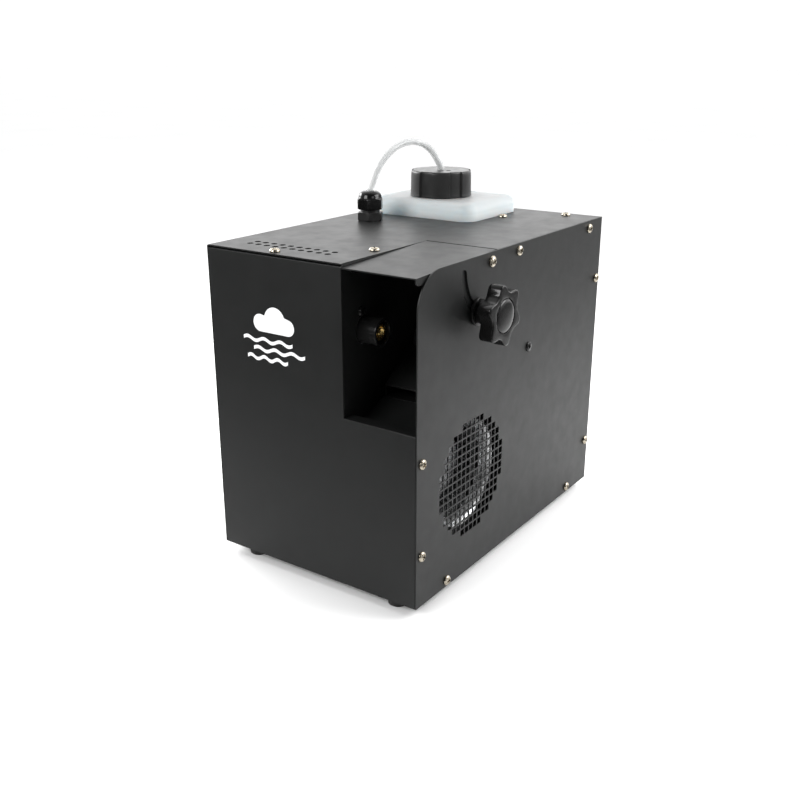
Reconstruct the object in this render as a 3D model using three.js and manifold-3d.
// A fog machine in a sheet metal case: heater and pump at the front left, a centrifugal blower
// at the front right that feeds the outlet chamber, and a fluid tank that stands proud of the top.
// Millimetres. +X is the knob side, +Y the back, +Z up. All shapes are drawn in the case's own
// coordinates, from its front left bottom corner, and the whole group is moved at the end.
import * as THREE from "three";
import { mergeVertices } from "three/addons/utils/BufferGeometryUtils.js";
import Module from "manifold-3d";

const wasm = await Module();
wasm.setup();

// ---- driving dimensions ----
const CASE = { width: 230, depth: 350, height: 300 };
const SHEET = 1.2;
const GAP = 0.3;
const FOOT = { height: 10, radius: 10, inset: 30, setBack: 16 };
const FLANGE = 13;
const SCREW = { shank: 1.5, hole: 1.8, head: 4.8, headHeight: 3, length: 8 };

const OUTLET = { left: 153.5, bottom: 164, lip: 13 };
const PIVOT = { y: 116, z: 291.5, hole: 3.2 };
const FLAP = { left: 154.6, right: 228.3, rear: 125.7, droop: 1.6 };
const SLOT = { radius: 46.4, width: 9, top: 5.5, bottom: 61.5 };
const KNOB = {
  angle: 59.6, back: 244.5, face: 258.6, dome: 260, lobeRadius: 28, valleyRadius: 21.5, bevel: 1.2,
};
const KNOB_LOBES = 6;
const KNOB_PHASE = 40;

const STUD = { radius: 3, hole: 3.3, left: 221, right: 245 };
const HUB_START = CASE.width + 3.9;
const WASHER_RADIUS = 12.5;

const GRILLE = { y: 91.7, z: 96.4, pitch: 7.5, hole: 6, cells: 15, reach: 7.4 };
const BLOWER = { left: 158, right: 211, wheel: 47, eye: 45.3, cutoff: 60, near: 54, far: 72, top: 158 };
const HUB = { boss: 8, cup: 36, end: 192.5 };
const BLADES = 24;
const BLADE_LEAN = 0.5;

const TANK = {
  left: 10.5, right: 136.5, front: 234.5, rear: 338, bottom: 109.7, top: 318, wall: 2.2, corner: 14,
};
const NECK = { x: 71, y: 282, radius: 27, bore: 24.5, top: 336 };
const CAP = { radius: 33.5, recess: 31.2, bottom: 318.4, top: 345, lobes: 6, lobeHalf: 17 };
const CAP_VENT = { x: 12, y: -4, radius: 2.9 };
const GLAND = { x: 41.5, y: 193, base: 308.5, neck: 311, nut: 323, top: 330 };
const HOSE = { radius: 3.5, hole: 3.8 };

const NOZZLE = { y: 32, z: 237, sleeve: 12.5, tip: 7.9 };
const SLEEVE_END = 173.5;
const PANEL_REAR = CASE.depth + GAP;
const REAR_FITTINGS = 3.6;
const VENTS = { rows: [25.6, 35.5], start: 29.6, pitch: 10, count: 10, radius: 3 };
const HEATER = { left: 50, right: 135, front: 12, rear: 52, bottom: 212, top: 262 };
const JACKET = { left: 44, right: 152, front: 8, rear: 60, bottom: 206, top: 276 };
const PUMP = { x: 50, y: 193, half: 18, bottom: 30, top: 66 };
const SHAFT = { radius: 2.5, hole: 3.3, left: 151, right: 172 };
const DIVIDER = { x: 138.9, front: 150, rear: 345 };
const MOTOR = { left: 112, right: 157.6, radius: 19 };

const INNER_LEFT = SHEET + GAP;
const INNER_RIGHT = CASE.width - SHEET - GAP;
const INNER_TOP = CASE.height - SHEET - GAP;
const FRONT_TOP = INNER_TOP - 1;
const SIDE_INNER = CASE.width - SHEET;
const CASE_FLOOR = SHEET + GAP;
const SLACK = 5;

// Screws in the right side panel, as [y, z], and in the top cover, as [x, y].
const SIDE_SCREWS = {
  side_screw_front_high: [8, 137],
  side_screw_front_low: [8, 49.7],
  side_screw_bottom_front: [50, 6.6],
  side_screw_bottom_rear: [300, 6.6],
  side_screw_rear_low: [342.5, 48.5],
  side_screw_rear_high: [342.5, 235.7],
  side_screw_top_front: [166, 293],
  side_screw_top_rear: [318, 292],
};
const TOP_SCREWS = [[74.5, 8.3], [142.8, 61.7], [144.4, 288], [194.8, 335.6]];

// ---- looks ----
function look(color, roughness, metalness, opacity = 1) {
  return new THREE.MeshStandardMaterial({
    color, roughness, metalness, opacity, transparent: opacity < 1,
  });
}
const LOOK = {
  paint: look(0x1b1b1c, 0.55, 0.2),
  zinc: look(0xb9bcbf, 0.35, 0.9),
  steel: look(0xc9c4b8, 0.25, 1),
  brass: look(0xb08d45, 0.3, 1),
  aluminium: look(0xaeb1b4, 0.4, 0.9),
  blackPlastic: look(0x141414, 0.4, 0),
  rubber: look(0x101010, 0.9, 0),
  tank: look(0xdfe8ea, 0.5, 0, 0.7),
  hose: look(0xe9eeee, 0.2, 0, 0.5),
  board: look(0x1d5a35, 0.6, 0),
  display: look(0x243b52, 0.15, 0),
};

// ---- solids ----
const FINE = 20;
const COARSE = 10;

function solid(geometry) {
  geometry.deleteAttribute("normal");
  geometry.deleteAttribute("uv");
  const merged = mergeVertices(geometry, 1e-4);
  return new wasm.Manifold(new wasm.Mesh({
    numProp: 3,
    vertProperties: new Float32Array(merged.attributes.position.array),
    triVerts: new Uint32Array(merged.index.array),
  }));
}

function box(x0, x1, y0, y1, z0, z1) {
  const shape = new THREE.BoxGeometry(x1 - x0, y1 - y0, z1 - z0);
  shape.translate((x0 + x1) / 2, (y0 + y1) / 2, (z0 + z1) / 2);
  return solid(shape);
}

function outline(points) {
  return new THREE.Shape(points.map(([u, v]) => new THREE.Vector2(u, v)));
}

function extrude(shape, depth, options = {}) {
  return new THREE.ExtrudeGeometry(shape, { depth, bevelEnabled: false, curveSegments: 6, ...options });
}

// A (y, z) outline swept from x0 to x1.
function alongX(shape, x0, x1, options) {
  const geometry = extrude(shape, x1 - x0, options);
  const turn = new THREE.Matrix4().makeBasis(
    new THREE.Vector3(0, 1, 0), new THREE.Vector3(0, 0, 1), new THREE.Vector3(1, 0, 0));
  geometry.applyMatrix4(turn);
  geometry.translate(x0, 0, 0);
  return solid(geometry);
}

// An (x, z) outline swept from y0 to y1.
function alongY(shape, y0, y1, options) {
  const geometry = extrude(shape, y1 - y0, options);
  geometry.rotateX(Math.PI / 2);
  geometry.translate(0, y1, 0);
  return solid(geometry);
}

// An (x, y) outline swept from z0 to z1.
function alongZ(shape, z0, z1, options) {
  const geometry = extrude(shape, z1 - z0, options);
  geometry.translate(0, 0, z0);
  return solid(geometry);
}

// A profile of [radius, distance along the axis] points turned round an axis through `centre`.
function turned(profile, axis, centre, segments = FINE) {
  const geometry = new THREE.LatheGeometry(profile.map(([r, t]) => new THREE.Vector2(r, t)), segments);
  if (axis === "z") {
    geometry.rotateX(Math.PI / 2);
  }
  if (axis === "x") {
    geometry.rotateZ(-Math.PI / 2);
  }
  geometry.translate(...centre);
  return solid(geometry);
}

function discX(radius, x0, x1, y, z, segments = FINE) {
  return turned([[0, x0], [radius, x0], [radius, x1], [0, x1]], "x", [0, y, z], segments);
}

function discY(radius, y0, y1, x, z, segments = FINE) {
  return turned([[0, y0], [radius, y0], [radius, y1], [0, y1]], "y", [x, 0, z], segments);
}

function discZ(radius, z0, z1, x, y, segments = FINE) {
  return turned([[0, z0], [radius, z0], [radius, z1], [0, z1]], "z", [x, y, 0], segments);
}

// Cutters for a hole through a sheet at the given x, y or z.
function holeX(radius, x, y, z, segments = COARSE) {
  return discX(radius, x - SLACK, x + SLACK, y, z, segments);
}

function holeY(radius, y, x, z, segments = COARSE) {
  return discY(radius, y - SLACK, y + SLACK, x, z, segments);
}

function holeZ(radius, z, x, y, segments = COARSE) {
  return discZ(radius, z - SLACK, z + SLACK, x, y, segments);
}

function joined(...solids) {
  return solids.reduce((whole, next) => whole.add(next));
}

// A bent sheet's (u, v) outline: the line of its outer face, and the same line set in by `t`.
function bentSheet(points, t = SHEET) {
  const line = points.map(([u, v]) => new THREE.Vector2(u, v));
  const inner = line.map((point, i) => {
    const before = i > 0 ? point.clone().sub(line[i - 1]).normalize() : null;
    const after = i < line.length - 1 ? line[i + 1].clone().sub(point).normalize() : null;
    const a = before ?? after;
    const b = after ?? before;
    const normalA = new THREE.Vector2(-a.y, a.x);
    const normalB = new THREE.Vector2(-b.y, b.x);
    const bisector = normalA.clone().add(normalB).normalize();
    return point.clone().addScaledVector(bisector, t / bisector.dot(normalA));
  });
  return new THREE.Shape([...line, ...inner.reverse()]);
}

function roundedRectangle(u0, u1, v0, v1, r) {
  const shape = new THREE.Shape();
  shape.absarc(u1 - r, v0 + r, r, -Math.PI / 2, 0);
  shape.absarc(u1 - r, v1 - r, r, 0, Math.PI / 2);
  shape.absarc(u0 + r, v1 - r, r, Math.PI / 2, Math.PI);
  shape.absarc(u0 + r, v0 + r, r, Math.PI, 1.5 * Math.PI);
  return shape;
}

function regular(sides, acrossFlats, u, v) {
  const radius = acrossFlats / 2 / Math.cos(Math.PI / sides);
  const points = Array.from({ length: sides }, (_, i) => {
    const angle = (i + 0.5) * 2 * Math.PI / sides;
    return [u + radius * Math.cos(angle), v + radius * Math.sin(angle)];
  });
  return outline(points);
}

function tubeAlong(points, radius, steps, sides = 10) {
  const through = points.map((point) => new THREE.Vector3(...point));
  const curve = new THREE.CatmullRomCurve3(through, false, "centripetal");
  const section = new THREE.Shape();
  for (let i = 0; i < sides; i += 1) {
    const angle = i * 2 * Math.PI / sides;
    const corner = [radius * Math.cos(angle), radius * Math.sin(angle)];
    if (i === 0) {
      section.moveTo(...corner);
    } else {
      section.lineTo(...corner);
    }
  }
  return solid(new THREE.ExtrudeGeometry(section, { steps, extrudePath: curve, bevelEnabled: false }));
}

// ---- the group ----
const machine = new THREE.Group();
machine.position.set(-KNOB.dome / 2, -(CASE.depth + REAR_FITTINGS) / 2, FOOT.height);

function piece(name, manifold, material) {
  const result = manifold.getMesh();
  const geometry = new THREE.BufferGeometry();
  geometry.setAttribute("position", new THREE.BufferAttribute(new Float32Array(result.vertProperties), 3));
  geometry.setIndex(new THREE.BufferAttribute(new Uint32Array(result.triVerts), 1));
  geometry.computeVertexNormals();
  const mesh = new THREE.Mesh(geometry, material);
  mesh.name = name;
  machine.add(mesh);
}

// ---- casing ----
function baseTray() {
  const left = INNER_LEFT;
  const right = INNER_RIGHT;
  const front = INNER_LEFT;
  const rear = CASE.depth - INNER_LEFT;
  let tray = box(left, right, front, rear, 0, FLANGE).subtract(
    box(left + SHEET, right - SHEET, front + SHEET, rear - SHEET, SHEET, FLANGE + 1));
  for (const [y, z] of [SIDE_SCREWS.side_screw_bottom_front, SIDE_SCREWS.side_screw_bottom_rear]) {
    tray = tray.subtract(holeX(SCREW.hole, right, y, z));
  }
  return tray;
}

function frontPanel() {
  const face = outline([
    [INNER_LEFT, 0], [INNER_RIGHT, 0], [INNER_RIGHT, OUTLET.bottom], [OUTLET.left, OUTLET.bottom],
    [OUTLET.left, FRONT_TOP], [INNER_LEFT, FRONT_TOP],
  ]);
  let panel = joined(
    alongY(face, 0, SHEET),
    box(3, 150, 0, FLANGE + 1, FRONT_TOP - SHEET, FRONT_TOP),
    box(INNER_RIGHT - SHEET, INNER_RIGHT, 0, 15, 16, 150),
    box(OUTLET.left, INNER_RIGHT, 0, OUTLET.lip, OUTLET.bottom - SHEET, OUTLET.bottom),
  );
  panel = panel.subtract(holeZ(SCREW.hole, FRONT_TOP, ...TOP_SCREWS[0]));
  for (const [y, z] of [SIDE_SCREWS.side_screw_front_high, SIDE_SCREWS.side_screw_front_low]) {
    panel = panel.subtract(holeX(SCREW.hole, INNER_RIGHT, y, z));
  }
  return panel;
}

function coverSection() {
  const bend = 2;
  const shape = new THREE.Shape();
  shape.moveTo(0, 0);
  shape.lineTo(SHEET, 0);
  shape.absarc(bend, CASE.height - bend, bend - SHEET, Math.PI, Math.PI / 2, true);
  shape.lineTo(INNER_RIGHT - SHEET, CASE.height - SHEET);
  shape.lineTo(INNER_RIGHT - SHEET, 284);
  shape.lineTo(INNER_RIGHT, 284);
  shape.lineTo(INNER_RIGHT, CASE.height);
  shape.absarc(bend, CASE.height - bend, bend, Math.PI / 2, Math.PI, false);
  return shape;
}

function tankHole() {
  const ease = 0.6;
  const { left, right, front, rear, corner } = TANK;
  const shape = roundedRectangle(left - ease, right + ease, front - ease, rear + ease, corner + ease);
  return alongZ(shape, CASE.height - SLACK, CASE.height + SLACK, { curveSegments: 5 });
}

function topCover() {
  const { width, depth, height } = CASE;
  const flapRear = 129.1;
  const flangeEnd = 283;
  let cover = alongY(coverSection(), 0, depth)
    .subtract(box(OUTLET.left + GAP, width, -1, flapRear, flangeEnd, height + 1))
    .subtract(box(INNER_RIGHT - 2, width, depth - INNER_LEFT, depth + 1, flangeEnd, height - SHEET))
    .subtract(tankHole())
    .subtract(holeZ(8.3, height, GLAND.x, GLAND.y, FINE));
  for (const ventY of VENTS.rows) {
    for (let i = 0; i < VENTS.count; i += 1) {
      cover = cover.subtract(holeZ(VENTS.radius, height, VENTS.start + i * VENTS.pitch, ventY, 8));
    }
  }
  for (const [x, y] of TOP_SCREWS) {
    cover = cover.subtract(holeZ(SCREW.hole, height, x, y));
  }
  for (const [y, z] of [SIDE_SCREWS.side_screw_top_front, SIDE_SCREWS.side_screw_top_rear]) {
    cover = cover.subtract(holeX(SCREW.hole, INNER_RIGHT, y, z));
  }
  return cover;
}

function clampSlot() {
  const shape = new THREE.Shape();
  const half = SLOT.width / 2;
  const from = Math.PI + THREE.MathUtils.degToRad(SLOT.top);
  const to = Math.PI + THREE.MathUtils.degToRad(SLOT.bottom);
  const end = (angle) => [
    PIVOT.y + SLOT.radius * Math.cos(angle), PIVOT.z + SLOT.radius * Math.sin(angle),
  ];
  shape.absarc(PIVOT.y, PIVOT.z, SLOT.radius + half, from, to, false);
  shape.absarc(...end(to), half, to, to + Math.PI, false);
  shape.absarc(PIVOT.y, PIVOT.z, SLOT.radius - half, to, from, true);
  shape.absarc(...end(from), half, from + Math.PI, from + 2 * Math.PI, false);
  return shape;
}

function rightSidePanel() {
  const corner = 33;
  const shape = new THREE.Shape();
  shape.moveTo(0, 0);
  shape.lineTo(CASE.depth, 0);
  shape.lineTo(CASE.depth, CASE.height);
  shape.absarc(corner, CASE.height - corner, corner, Math.PI / 2, Math.PI, false);
  let panel = alongX(shape, SIDE_INNER, CASE.width, { curveSegments: 10 });
  const middle = (GRILLE.cells - 1) / 2;
  const h = GRILLE.hole / 2;
  for (let row = -middle; row <= middle; row += 1) {
    for (let column = -middle; column <= middle; column += 1) {
      if (Math.hypot(row, column) > GRILLE.reach) {
        continue;
      }
      const y = GRILLE.y + column * GRILLE.pitch;
      const z = GRILLE.z + row * GRILLE.pitch;
      panel = panel.subtract(box(SIDE_INNER - 1, CASE.width + 1, y - h, y + h, z - h, z + h));
    }
  }
  panel = panel.subtract(alongX(clampSlot(), SIDE_INNER - 1, CASE.width + 1, { curveSegments: 10 }));
  for (const [y, z] of Object.values(SIDE_SCREWS)) {
    panel = panel.subtract(holeX(SCREW.hole, CASE.width, y, z));
  }
  return panel.subtract(holeX(PIVOT.hole, CASE.width, PIVOT.y, PIVOT.z));
}

// Rear panel fittings, as x and z of their centres.
const INLET = { x: 190, z: 48, width: 32, height: 44 };
const POWER = { x: 150, z: 48, width: 16, height: 26 };
const SOCKETS = { xlr_in: [50, 50], xlr_out: [90, 50] };
const DISPLAY = { x: 185, z: 210, width: 60, height: 30 };
const BUTTONS = { button_menu: 164, button_up: 178, button_down: 192, button_enter: 206 };
const BUTTON_Z = 182;
const BUTTON_RADIUS = 4;
const SOCKET_BODY = 11.7;
const RIM = 1.5;

function rearPanel() {
  const front = CASE.depth - SHEET;
  let panel = joined(
    box(INNER_LEFT, INNER_RIGHT, front, CASE.depth, 0, INNER_TOP),
    box(INNER_RIGHT - SHEET, INNER_RIGHT, 335, CASE.depth, 16, 283),
    box(142, 226, 328, CASE.depth, INNER_TOP - SHEET, INNER_TOP),
  );
  panel = panel.subtract(holeZ(SCREW.hole, INNER_TOP, ...TOP_SCREWS[3]));
  for (const [y, z] of [SIDE_SCREWS.side_screw_rear_low, SIDE_SCREWS.side_screw_rear_high]) {
    panel = panel.subtract(holeX(SCREW.hole, INNER_RIGHT, y, z));
  }
  for (const place of [INLET, POWER, DISPLAY]) {
    const w = place.width / 2 - RIM + GAP;
    const h = place.height / 2 - RIM + GAP;
    panel = panel.subtract(box(place.x - w, place.x + w, front - 1, PANEL_REAR, place.z - h, place.z + h));
  }
  for (const [x, z] of Object.values(SOCKETS)) {
    panel = panel.subtract(holeY(SOCKET_BODY + GAP, front, x, z, FINE));
  }
  for (const x of Object.values(BUTTONS)) {
    panel = panel.subtract(holeY(BUTTON_RADIUS + GAP, front, x, BUTTON_Z));
  }
  return panel;
}

// A wall beside the tank that the top cover is screwed to.
function dividerWall() {
  const { x, front, rear } = DIVIDER;
  const wall = joined(
    box(x, x + SHEET, front, rear, CASE_FLOOR, INNER_TOP),
    box(x, x + 16, front, rear, CASE_FLOOR, CASE_FLOOR + SHEET),
    box(x, x + 17, 275, 300, INNER_TOP - SHEET, INNER_TOP),
  );
  return wall.subtract(holeZ(SCREW.hole, INNER_TOP, ...TOP_SCREWS[2]));
}

function foot(x, y) {
  const r = FOOT.radius;
  const h = FOOT.height;
  return turned([
    [0, -h + 5], [3.5, -h + 5], [3.5, -h], [r - 1, -h], [r, -GAP], [0, -GAP],
  ], "z", [x, y, 0], 16);
}

function casing() {
  piece("base_tray", baseTray(), LOOK.paint);
  piece("front_panel", frontPanel(), LOOK.paint);
  piece("rear_panel", rearPanel(), LOOK.paint);
  piece("top_cover", topCover(), LOOK.paint);
  piece("right_side_panel", rightSidePanel(), LOOK.paint);
  piece("divider_wall", dividerWall(), LOOK.zinc);
  const left = FOOT.inset;
  const right = CASE.width - FOOT.inset;
  piece("foot_front_left", foot(left, FOOT.setBack), LOOK.rubber);
  piece("foot_front_right", foot(right, FOOT.setBack), LOOK.rubber);
  piece("foot_rear_left", foot(left, CASE.depth - FOOT.setBack), LOOK.rubber);
  piece("foot_rear_right", foot(right, CASE.depth - FOOT.setBack), LOOK.rubber);
  const seat = CASE.width + GAP;
  for (const [name, [y, z]] of Object.entries(SIDE_SCREWS)) {
    const screw = turned([
      [0, CASE.width - SCREW.length], [SCREW.shank, CASE.width - SCREW.length], [SCREW.shank, seat],
      [SCREW.head, seat], [SCREW.head - 0.8, seat + SCREW.headHeight], [0, seat + SCREW.headHeight],
    ], "x", [0, y, z], 8);
    piece(name, screw, LOOK.steel);
  }
}

// ---- deflector flap, its pivot and its clamp ----
function knobAt() {
  const angle = Math.PI + THREE.MathUtils.degToRad(KNOB.angle);
  return [PIVOT.y + SLOT.radius * Math.cos(angle), PIVOT.z + SLOT.radius * Math.sin(angle)];
}

// The flap is drawn level, then droops a little about its pivot.
function drooped(manifold) {
  const turn = new THREE.Matrix4()
    .makeTranslation(0, PIVOT.y, PIVOT.z)
    .multiply(new THREE.Matrix4().makeRotationX(THREE.MathUtils.degToRad(FLAP.droop)))
    .multiply(new THREE.Matrix4().makeTranslation(0, -PIVOT.y, -PIVOT.z));
  return manifold.transform(turn.elements);
}

function levelStud() {
  const angle = Math.PI + THREE.MathUtils.degToRad(KNOB.angle - FLAP.droop);
  return [PIVOT.y + SLOT.radius * Math.cos(angle), PIVOT.z + SLOT.radius * Math.sin(angle)];
}

function deflectorFlap() {
  const top = CASE.height;
  const under = top - SHEET;
  const flange = under - 5;
  const [studY, studZ] = levelStud();
  const right = new THREE.Shape();
  right.moveTo(0, under + 0.5);
  right.lineTo(0, flange + 2);
  right.lineTo(2, flange);
  right.lineTo(62, 287);
  right.absarc(studY, studZ, 8.5, Math.PI * 0.95, Math.PI * 1.9, false);
  right.lineTo(FLAP.rear - 5, 283);
  right.lineTo(FLAP.rear, 289);
  right.lineTo(FLAP.rear, under + 0.5);
  const left = outline([
    [6, under + 0.5], [12, flange], [100, 288], [110, 284], [122, 284], [FLAP.rear, 289],
    [FLAP.rear, under + 0.5],
  ]);
  const level = joined(
    box(FLAP.left, FLAP.right, 0, FLAP.rear, under, top),
    alongX(right, FLAP.right - SHEET, FLAP.right),
    alongX(left, FLAP.left, FLAP.left + SHEET),
    discX(6.5, FLAP.right - SHEET - 5, FLAP.right - 0.5, studY, studZ, COARSE),
  );
  return drooped(level)
    .subtract(discX(STUD.hole, 215, 235, ...knobAt()))
    .subtract(holeX(PIVOT.hole, FLAP.right, PIVOT.y, PIVOT.z, FINE))
    .subtract(holeX(PIVOT.hole, FLAP.left, PIVOT.y, PIVOT.z, FINE));
}

function flapPivotScrew() {
  const seat = CASE.width + GAP;
  const pin = 2.9;
  const collar = 5;
  return turned([
    [0, 221.5], [collar, 221.5], [collar, 226.6], [pin, 226.6], [pin, seat], [5.2, seat],
    [5.2, seat + 1], [4.2, seat + 2.6], [2.2, seat + 3.4], [0, seat + 3.4],
  ], "x", [0, PIVOT.y, PIVOT.z], 16);
}

function knobStar() {
  const mean = (KNOB.lobeRadius + KNOB.valleyRadius) / 2;
  const swing = (KNOB.lobeRadius - KNOB.valleyRadius) / 2;
  const [y, z] = knobAt();
  const { bevel } = KNOB;
  const corners = KNOB_LOBES * 6;
  const points = Array.from({ length: corners }, (_, i) => {
    const angle = i * 2 * Math.PI / corners;
    const phase = KNOB_LOBES * (angle - THREE.MathUtils.degToRad(KNOB_PHASE));
    const radius = mean + swing * Math.cos(phase) - bevel;
    return [y + radius * Math.cos(angle), z + radius * Math.sin(angle)];
  });
  return alongX(outline(points), KNOB.back + bevel, KNOB.face - bevel, {
    bevelEnabled: true, bevelThickness: bevel, bevelSize: bevel, bevelSegments: 2,
  });
}

function clampKnob() {
  const [y, z] = knobAt();
  const { face, dome } = KNOB;
  const hubEnd = KNOB.back + 1;
  const centre = turned([
    [0, face - 1], [14, face - 1], [14, face], [9, dome - 0.5], [0, dome],
  ], "x", [0, y, z]);
  const hub = turned([
    [0, HUB_START], [9.5, HUB_START], [10.5, HUB_START + 4], [12, hubEnd], [0, hubEnd],
  ], "x", [0, y, z]);
  const bore = discX(STUD.hole, HUB_START - 1, STUD.right + 1, y, z, COARSE);
  return joined(knobStar(), hub, centre).subtract(bore);
}

function flapAndClamp() {
  const [y, z] = knobAt();
  const washer = discX(WASHER_RADIUS, CASE.width + GAP, HUB_START - GAP, y, z)
    .subtract(holeX(STUD.hole, CASE.width, y, z));
  piece("deflector_flap", deflectorFlap(), LOOK.paint);
  piece("flap_pivot_screw", flapPivotScrew(), LOOK.steel);
  piece("clamp_washer", washer, LOOK.blackPlastic);
  piece("clamp_stud", discX(STUD.radius, STUD.left, STUD.right, y, z, COARSE), LOOK.steel);
  piece("clamp_knob", clampKnob(), LOOK.blackPlastic);
}

// ---- outlet chamber ----
const DUCT = {
  left: 155.5, right: 227, mouth: 59.3, rear: 164.9,
  slotBottom: 168.5, slotTop: 177.4, roof: 207, seat: 158.3,
};

function chamberLeftWall() {
  const x = OUTLET.left - SHEET;
  const wall = joined(
    box(x, OUTLET.left, INNER_LEFT, 136, 151, INNER_TOP),
    box(138, OUTLET.left, 50, 75, INNER_TOP - SHEET, INNER_TOP),
    discX(5, x, 154.2, PIVOT.y, PIVOT.z, COARSE),
    discX(2.9, x, 157.8, PIVOT.y, PIVOT.z, 16),
    discX(5, 156.2, 157.8, PIVOT.y, PIVOT.z, 16),
  );
  return wall
    .subtract(holeX(NOZZLE.sleeve + GAP, x, NOZZLE.y, NOZZLE.z, FINE))
    .subtract(holeZ(SCREW.hole, INNER_TOP, ...TOP_SCREWS[1]));
}

function outletFloor() {
  return alongX(bentSheet([
    [58.8, 167.2], [34.3, 155.8], [14.3, 155.8], [13.6, 162.3],
  ].reverse()), OUTLET.left + GAP, SIDE_INNER - GAP);
}

function airDuct() {
  const { left, right, mouth, slotBottom, slotTop, roof, rear, seat } = DUCT;
  const outer = outline([
    [mouth, 180], [mouth, slotBottom - SHEET], [96, slotBottom - SHEET], [104, seat], [rear, seat],
    [rear, roof], [101, roof],
  ]);
  const inner = outline([
    [mouth - 2, slotTop], [mouth - 2, slotBottom], [96.6, slotBottom], [104.6, seat + SHEET],
    [rear - SHEET, seat + SHEET], [rear - SHEET, roof - SHEET], [101.4, roof - SHEET],
  ]);
  return alongX(outer, left, right)
    .subtract(alongX(inner, left + SHEET, right - SHEET))
    .subtract(box(BLOWER.left + SHEET, BLOWER.right - SHEET, 118, 162.5, seat - 1, seat + 3));
}

function chamberBack() {
  const foot = DUCT.roof + GAP;
  return alongX(
    bentSheet([[120, foot], [103.5, foot], [130, 283], [141, 283]].reverse()), DUCT.left, DUCT.right);
}

function nozzleSleeve() {
  const r = NOZZLE.sleeve;
  return turned([
    [8.3, 136.5], [r, 136.5], [r, SLEEVE_END - 0.8], [r - 0.8, SLEEVE_END], [9.4, SLEEVE_END],
    [8.3, SLEEVE_END - 1.2], [8.3, 136.5],
  ], "x", [0, NOZZLE.y, NOZZLE.z]);
}

function brassNozzle() {
  const r = NOZZLE.tip;
  return turned([
    [0, 135.4], [r, 135.4], [r, 170], [r - 0.9, 171], [4.4, 171], [1.2, 167], [1.2, 160], [0, 160],
  ], "x", [0, NOZZLE.y, NOZZLE.z]);
}

function outletChamber() {
  piece("chamber_left_wall", chamberLeftWall(), LOOK.paint);
  piece("outlet_floor", outletFloor(), LOOK.paint);
  piece("air_duct", airDuct(), LOOK.paint);
  piece("chamber_back", chamberBack(), LOOK.paint);
  piece("nozzle_sleeve", nozzleSleeve(), LOOK.blackPlastic);
  piece("brass_nozzle", brassNozzle(), LOOK.brass);
}

// ---- heater ----
function heater() {
  const { left, right, front, rear, bottom, top } = HEATER;
  const legs = JACKET.bottom + SHEET + 0.4;
  const sensorX = 92;
  const block = joined(
    box(left, right, front, rear, bottom, top),
    box(left + 5, left + 15, front + 2, rear - 2, legs, bottom + 1),
    box(right - 15, right - 5, front + 2, rear - 2, legs, bottom + 1),
    discZ(8, top - 1, top + 6, sensorX, NOZZLE.y, 16),
    discZ(3.5, top + 5, top + 10, sensorX, NOZZLE.y, COARSE),
  );
  const outer = [JACKET.left, JACKET.right, JACKET.front, JACKET.rear, JACKET.bottom, JACKET.top];
  const inner = outer.map((place, i) => (i % 2 === 0 ? place + SHEET : place - SHEET));
  const jacket = box(...outer)
    .subtract(box(...inner))
    .subtract(discX(NOZZLE.sleeve + GAP, JACKET.right - 4, JACKET.right + 1, NOZZLE.y, NOZZLE.z))
    .subtract(discX(4, JACKET.left - 1, JACKET.left + 2, NOZZLE.y, NOZZLE.z, COARSE));
  piece("heater_block", block, LOOK.aluminium);
  piece("heater_jacket", jacket, LOOK.zinc);
}

// ---- blower ----
function scroll(inset) {
  const steps = 20;
  const shape = new THREE.Shape();
  for (let i = 0; i <= steps; i += 1) {
    const degrees = BLOWER.cutoff + (360 - BLOWER.cutoff) * i / steps;
    const radius = BLOWER.near + (BLOWER.far - BLOWER.near) * i / steps - inset;
    const angle = THREE.MathUtils.degToRad(degrees);
    const point = [GRILLE.y + radius * Math.cos(angle), GRILLE.z + radius * Math.sin(angle)];
    if (i === 0) {
      shape.moveTo(...point);
    } else {
      shape.lineTo(...point);
    }
  }
  const top = BLOWER.top + (inset > 0 ? 5 : 0);
  shape.lineTo(GRILLE.y + BLOWER.far - inset, top);
  shape.lineTo(116 + inset, top);
  return shape;
}

function blowerHousing() {
  const leg = (y) => box(BLOWER.left, BLOWER.right, y, y + SHEET, CASE_FLOOR, 42);
  return joined(alongX(scroll(0), BLOWER.left, BLOWER.right), leg(60), leg(123))
    .subtract(alongX(scroll(SHEET), BLOWER.left + SHEET, BLOWER.right - SHEET))
    .subtract(holeX(BLOWER.eye, BLOWER.right, GRILLE.y, GRILLE.z, 28))
    .subtract(holeX(16, BLOWER.left, GRILLE.y, GRILLE.z, FINE));
}

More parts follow.
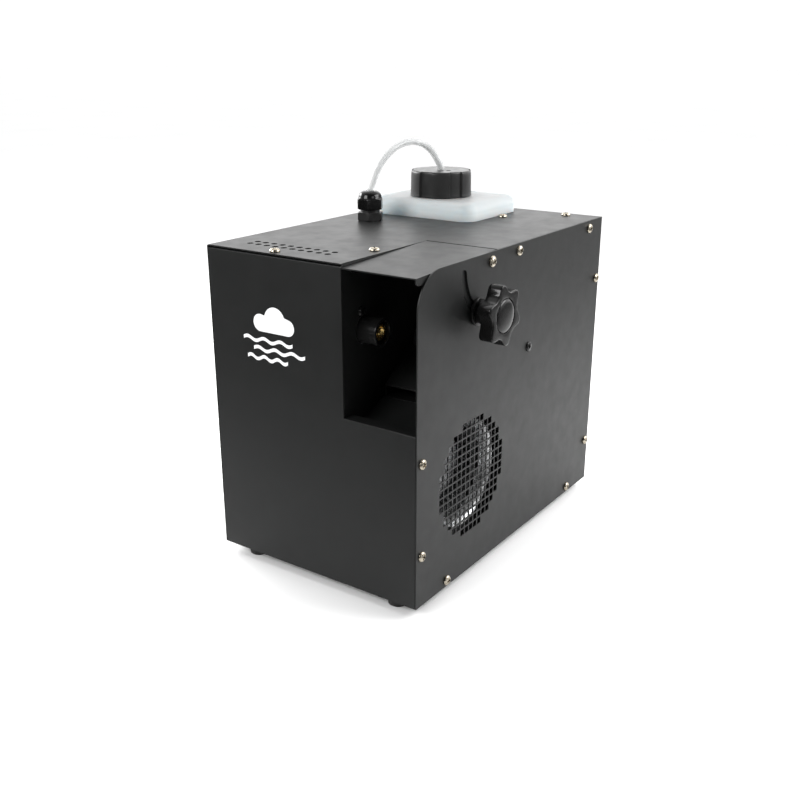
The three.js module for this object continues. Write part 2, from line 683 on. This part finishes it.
function blowerWheel() {
  const { y, z } = GRILLE;
  const r = BLOWER.wheel;
  const back = 164;
  const front = 207;
  const bladeDepth = 9;
  const { boss, cup, end } = HUB;
  const backPlate = [
    [0, back], [boss, back], [boss, end - 1.5], [cup - 3, end - 1.5], [cup - 1.5, end - 4],
    [cup - 1.5, back], [r, back], [r, back + 1.5], [cup, back + 1.5], [cup, end - 3], [cup - 3, end],
    [0, end],
  ];
  let wheel = joined(
    turned(backPlate, "x", [0, y, z], 24),
    discX(r, front - 3, front, y, z, 24).subtract(discX(r - 4, front - 5, front + 1, y, z, 24)),
  );
  for (let i = 0; i < BLADES; i += 1) {
    const blade = box(back + 1, front - 1, -0.5, 0.5, r - bladeDepth - 0.6, r - 0.6);
    const turn = new THREE.Matrix4()
      .makeTranslation(0, y, z)
      .multiply(new THREE.Matrix4().makeRotationX(i * 2 * Math.PI / BLADES))
      .multiply(new THREE.Matrix4().makeTranslation(0, 0, r))
      .multiply(new THREE.Matrix4().makeRotationX(BLADE_LEAN))
      .multiply(new THREE.Matrix4().makeTranslation(0, 0, -r));
    wheel = wheel.add(blade.transform(turn.elements));
  }
  return wheel.subtract(discX(SHAFT.hole, back - 1, SHAFT.right + 1, y, z, COARSE));
}

function blower() {
  const { y, z } = GRILLE;
  const seat = BLOWER.right + GAP;
  const ring = turned([
    [BLOWER.eye, seat], [57, seat], [57, seat + 1], [47, seat + 1], [50, 219], [51.6, 220.6],
    [51, 221.4], [49.2, 219.8], [BLOWER.eye, seat + 1.2], [BLOWER.eye, seat],
  ], "x", [0, y, z], 28);
  const { left, right, radius } = MOTOR;
  const motor = turned([
    [0, left], [radius - 2, left], [radius, left + 2], [radius, right - 2.6], [radius - 2, right],
    [6, right], [6, right + 2.9], [0, right + 2.9],
  ], "x", [0, y, z]).subtract(discX(SHAFT.radius + GAP, SHAFT.left - 1, right + 3.4, y, z, COARSE));
  const mount = box(left + 6, SHAFT.left - 1, y - 12, y + 12, CASE_FLOOR, z - 12);
  piece("blower_housing", blowerHousing(), LOOK.zinc);
  piece("blower_inlet_ring", ring, LOOK.zinc);
  piece("blower_wheel", blowerWheel(), LOOK.zinc);
  piece("blower_motor", motor.add(mount), LOOK.aluminium);
  piece("motor_shaft", discX(SHAFT.radius, SHAFT.left, SHAFT.right, y, z, COARSE), LOOK.steel);
}

// ---- fluid system ----
function tankSolid() {
  const edge = 3;
  const { left, right, front, rear, bottom, top, wall, corner } = TANK;
  const outer = roundedRectangle(left + edge, right - edge, front + edge, rear - edge, corner - edge);
  const inner = roundedRectangle(left + wall, right - wall, front + wall, rear - wall, corner - wall);
  const shell = alongZ(outer, bottom + edge, top - edge, {
    bevelEnabled: true, bevelThickness: edge, bevelSize: edge, bevelSegments: 2, curveSegments: 3,
  });
  return shell
    .add(discZ(NECK.radius, top - 1, NECK.top, NECK.x, NECK.y))
    .subtract(alongZ(inner, bottom + wall, top - wall, { curveSegments: 3 }))
    .subtract(discZ(NECK.bore, top - 5, NECK.top + 1, NECK.x, NECK.y));
}

// The cap's outline: wide gripping lobes with shallow recesses between them.
function capOutline() {
  const profile = [[-CAP.lobeHalf, CAP.radius - 0.2], [0, CAP.radius], [CAP.lobeHalf, CAP.radius - 0.2],
    [CAP.lobeHalf + 2, CAP.recess], [30, CAP.recess], [58 - CAP.lobeHalf, CAP.recess]];
  const points = [];
  for (let i = 0; i < CAP.lobes; i += 1) {
    for (const [offset, radius] of profile) {
      const angle = THREE.MathUtils.degToRad(i * 360 / CAP.lobes + 2.4 + offset);
      points.push([NECK.x + radius * Math.cos(angle), NECK.y + radius * Math.sin(angle)]);
    }
  }
  return outline(points);
}

function capSolid() {
  const { recess, bottom, top } = CAP;
  const crown = turned([
    [0, top - 2], [recess - 0.5, top - 2], [recess - 0.5, top - 1], [recess - 1.5, top], [0, top],
  ], "z", [NECK.x, NECK.y, 0], 36);
  return alongZ(capOutline(), bottom, top - 1)
    .add(crown)
    .subtract(discZ(NECK.radius + 0.6, bottom - 1, 341, NECK.x, NECK.y, 30))
    .subtract(holeZ(HOSE.hole, top, NECK.x, NECK.y))
    .subtract(holeZ(CAP_VENT.radius, top, NECK.x + CAP_VENT.x, NECK.y + CAP_VENT.y));
}

function tankShelf() {
  const left = 4;
  const right = 138;
  const top = TANK.bottom - GAP;
  return alongY(bentSheet([
    [left + FLANGE, CASE_FLOOR], [left, CASE_FLOOR], [left, top], [right, top], [right, CASE_FLOOR],
    [right - FLANGE, CASE_FLOOR],
  ].reverse()), TANK.front + 1.5, TANK.rear - 1);
}

function glandBody() {
  const thread = discZ(8, 285, 302, GLAND.x, GLAND.y, 20);
  const base = alongZ(regular(6, 24, GLAND.x, GLAND.y), CASE.height + GAP, GLAND.base);
  const neck = discZ(9.6, GLAND.base - 1, GLAND.neck, GLAND.x, GLAND.y);
  const lockNut = alongZ(regular(6, 22, GLAND.x, GLAND.y), 292.5, INNER_TOP);
  return joined(thread, base, neck, lockNut)
    .subtract(discZ(HOSE.hole, 280, 320, GLAND.x, GLAND.y, COARSE));
}

function glandNut() {
  const foot = GLAND.neck + GAP;
  const hex = alongZ(regular(6, 24.6, GLAND.x, GLAND.y), foot, GLAND.nut);
  const dome = turned([
    [0, GLAND.nut - 1], [11.6, GLAND.nut - 1], [11.2, GLAND.nut + 2], [9.4, GLAND.nut + 4.6],
    [6.6, GLAND.top], [0, GLAND.top],
  ], "z", [GLAND.x, GLAND.y, 0]);
  return hex.add(dome).subtract(discZ(HOSE.hole, foot - 1, GLAND.top + 1, GLAND.x, GLAND.y, COARSE));
}

// The hose's centreline from the gland to the cap, rising and falling in one plane.
const HOSE_ROUTE = [
  [GLAND.x, GLAND.y, GLAND.top + GAP], [42.4, 195.8, 336.5], [43.8, 200, 346], [46, 206.8, 356.6],
  [49.6, 217.5, 367.2], [54.4, 232, 374.4], [59.2, 246.5, 375.9], [63.2, 258.6, 372.6],
  [66.6, 268.8, 365.6], [69, 276, 356.4], [70.4, 280.2, 349.5], [NECK.x, NECK.y, CAP.top + GAP],
];
// The rest of the supply line, from inside the gland down to the pump.
const SUPPLY_ROUTE = [
  [GLAND.x, GLAND.y, GLAND.top], [GLAND.x, GLAND.y, 300], [GLAND.x, GLAND.y, 280], [44, 192, 240],
  [48, 193, 170], [50, 193, 120], [50, 193, 96],
];
const PRESSURE_ROUTE = [
  [50, 174.6, 48], [50, 160, 48], [44, 130, 52], [24, 90, 80], [22, 50, 150], [22, 34, 215],
  [30, NOZZLE.y, 236], [40, NOZZLE.y, NOZZLE.z], [49.6, NOZZLE.y, NOZZLE.z],
];

// The hose's ends are cut square to the gland and the cap.
function feedHose() {
  const level = (x, y, z) => box(x - 9, x + 9, y - 9, y + 9, z - 9, z);
  return tubeAlong(HOSE_ROUTE, HOSE.radius, 18)
    .subtract(level(GLAND.x, GLAND.y, GLAND.top + GAP))
    .subtract(level(NECK.x, NECK.y, CAP.top + GAP));
}

function fluidSystem() {
  const { x, y, half, bottom, top } = PUMP;
  const dipTube = turned([
    [2, 118], [6.5, 118], [6.5, 130], [HOSE.radius, 132], [HOSE.radius, CAP.top], [2, CAP.top], [2, 118],
  ], "z", [NECK.x, NECK.y, 0], COARSE);
  const pump = joined(
    box(x - half, x + half, y - half, y + half, bottom, top),
    discZ(6, bottom - 15, 95.6, x, y, 16),
    discZ(3, bottom - 20, bottom - 14, x, y, COARSE),
  );
  const upright = y + half + GAP;
  const bracket = joined(
    box(x - half - 2, x + half + 2, y - half, upright + SHEET, CASE_FLOOR, CASE_FLOOR + SHEET),
    box(x - half - 2, x + half + 2, upright, upright + SHEET, CASE_FLOOR, top),
  );
  piece("fluid_tank", tankSolid(), LOOK.tank);
  piece("tank_shelf", tankShelf(), LOOK.zinc);
  piece("tank_cap", capSolid(), LOOK.blackPlastic);
  piece("dip_tube", dipTube, LOOK.hose);
  piece("gland_body", glandBody(), LOOK.blackPlastic);
  piece("gland_nut", glandNut(), LOOK.blackPlastic);
  piece("feed_hose", feedHose(), LOOK.hose);
  piece("supply_hose", tubeAlong(SUPPLY_ROUTE, HOSE.radius - 0.1, 18, 8), LOOK.hose);
  piece("pressure_pipe", tubeAlong(PRESSURE_ROUTE, 2, 26, 6), LOOK.steel);
  piece("fluid_pump", pump, LOOK.steel);
  piece("pump_bracket", bracket, LOOK.zinc);
}

// ---- electrics ----
function controlBoard() {
  const back = 143;
  const face = back + 1.6;
  return joined(
    box(back, face, 200, 320, 40, 130),
    box(140.4, back + 0.5, 205, 211, 45, 51),
    box(140.4, back + 0.5, 309, 315, 119, 125),
    box(face - 0.5, 176, 208, 248, 48, 84),
    box(face - 0.5, 163, 256, 272, 50, 68),
    box(face - 0.5, 158, 280, 312, 52, 66),
    box(face - 0.5, 168, 262, 266, 76, 108),
    discX(7, face - 0.5, 172, 222, 110, 16),
    discX(7, face - 0.5, 172, 242, 110, 16),
  );
}

function mainsInlet() {
  const { x, z, width, height } = INLET;
  const w = width / 2;
  const h = height / 2;
  const bottom = z - 2;
  let inlet = joined(
    box(x - w, x + w, PANEL_REAR, PANEL_REAR + 2.5, z - h, z + h),
    box(x - w + RIM, x + w - RIM, 318, PANEL_REAR + 1, z - h + RIM, z + h - RIM),
  );
  const well = outline([
    [x - 12.2, bottom], [x + 12.2, bottom], [x + 12.2, bottom + 11], [x + 7.4, bottom + 16.4],
    [x - 7.4, bottom + 16.4], [x - 12.2, bottom + 11],
  ]);
  inlet = inlet
    .subtract(alongY(well, 334, 356))
    .subtract(box(x - 10.3, x + 10.3, 336, 356, z - 17.3, z - 6.7));
  for (const [dx, dz] of [[-7, 5.5], [0, 10], [7, 5.5]]) {
    inlet = inlet.add(box(x + dx - 1, x + dx + 1, 330, 347, bottom + dz - 2.5, bottom + dz + 1.5));
  }
  return inlet;
}

function fuseDrawer() {
  const { x, z } = INLET;
  return joined(
    box(x - 10, x + 10, 338, 353.6, z - 17, z - 7),
    box(x - 4, x + 4, 353, 354.6, z - 9.5, z - 7.5),
  );
}

function switchHousing() {
  const { x, z, width, height } = POWER;
  const w = width / 2;
  const h = height / 2;
  return joined(
    box(x - w, x + w, PANEL_REAR, PANEL_REAR + 1.8, z - h, z + h),
    box(x - w + RIM, x + w - RIM, 330, PANEL_REAR + 1, z - h + RIM, z + h - RIM),
  ).subtract(box(x - 5, x + 5, 337, 356, z - 9.7, z + 9.7));
}

const ROCKER = { pivot: 345, rest: 10 };

function switchRocker() {
  const { x, z } = POWER;
  const tilt = THREE.MathUtils.degToRad(ROCKER.rest);
  const points = [[7.6, -7.8], [6.6, 0], [7.6, 7.8], [4, 8.4], [-3, 4.5], [-3, -4.5], [4, -8.4]];
  const turnedPoints = points.map(([y, up]) => [
    ROCKER.pivot + y * Math.cos(tilt) - up * Math.sin(tilt), z + y * Math.sin(tilt) + up * Math.cos(tilt),
  ]);
  return alongX(outline(turnedPoints), x - 4.7, x + 4.7);
}

function controlSocket(x, z, hasPins) {
  let socket = joined(
    box(x - 13, x + 13, PANEL_REAR, PANEL_REAR + 2, z - 15.5, z + 15.5),
    discY(SOCKET_BODY, 329, PANEL_REAR + 1, x, z),
  );
  if (hasPins) {
    socket = socket.subtract(discY(9, 334, 356, x, z));
  }
  for (const degrees of [30, 150, 270]) {
    const angle = THREE.MathUtils.degToRad(degrees);
    const at = [x + 4.5 * Math.cos(angle), z + 4.5 * Math.sin(angle)];
    if (hasPins) {
      socket = socket.add(discY(1.2, 330, 346, ...at, 10));
    } else {
      socket = socket.subtract(discY(1.4, 338, 356, ...at, 10));
    }
  }
  return socket;
}

function displayUnit() {
  const { x, z, width, height } = DISPLAY;
  const w = width / 2;
  const h = height / 2;
  return joined(
    box(x - w, x + w, PANEL_REAR, PANEL_REAR + 2, z - h, z + h),
    box(x - w + RIM, x + w - RIM, 340, PANEL_REAR + 1, z - h + RIM, z + h - RIM),
    box(x - w + RIM, x + w - RIM, 340, 341.6, BUTTON_Z - 8, z),
  ).subtract(box(x - w + 4, x + w - 4, PANEL_REAR + 0.8, 356, z - h + 4, z + h - 4));
}

function button(x) {
  const r = BUTTON_RADIUS;
  const collar = 5;
  return turned([
    [0, 344.2], [collar, 344.2], [collar, 346.4], [r, 346.4], [r, 353.2], [r - 0.6, 353.8], [0, 353.8],
  ], "y", [x, 0, BUTTON_Z], COARSE);
}

function electrics() {
  piece("control_board", controlBoard(), LOOK.board);
  piece("mains_inlet", mainsInlet(), LOOK.blackPlastic);
  piece("fuse_drawer", fuseDrawer(), LOOK.blackPlastic);
  piece("switch_housing", switchHousing(), LOOK.blackPlastic);
  piece("switch_rocker", switchRocker(), LOOK.blackPlastic);
  piece("xlr_in", controlSocket(...SOCKETS.xlr_in, true), LOOK.steel);
  piece("xlr_out", controlSocket(...SOCKETS.xlr_out, false), LOOK.blackPlastic);
  piece("display_unit", displayUnit(), LOOK.display);
  for (const [name, x] of Object.entries(BUTTONS)) {
    piece(name, button(x), LOOK.rubber);
  }
}

casing();
flapAndClamp();
outletChamber();
heater();
blower();
fluidSystem();
electrics();

export default machine;
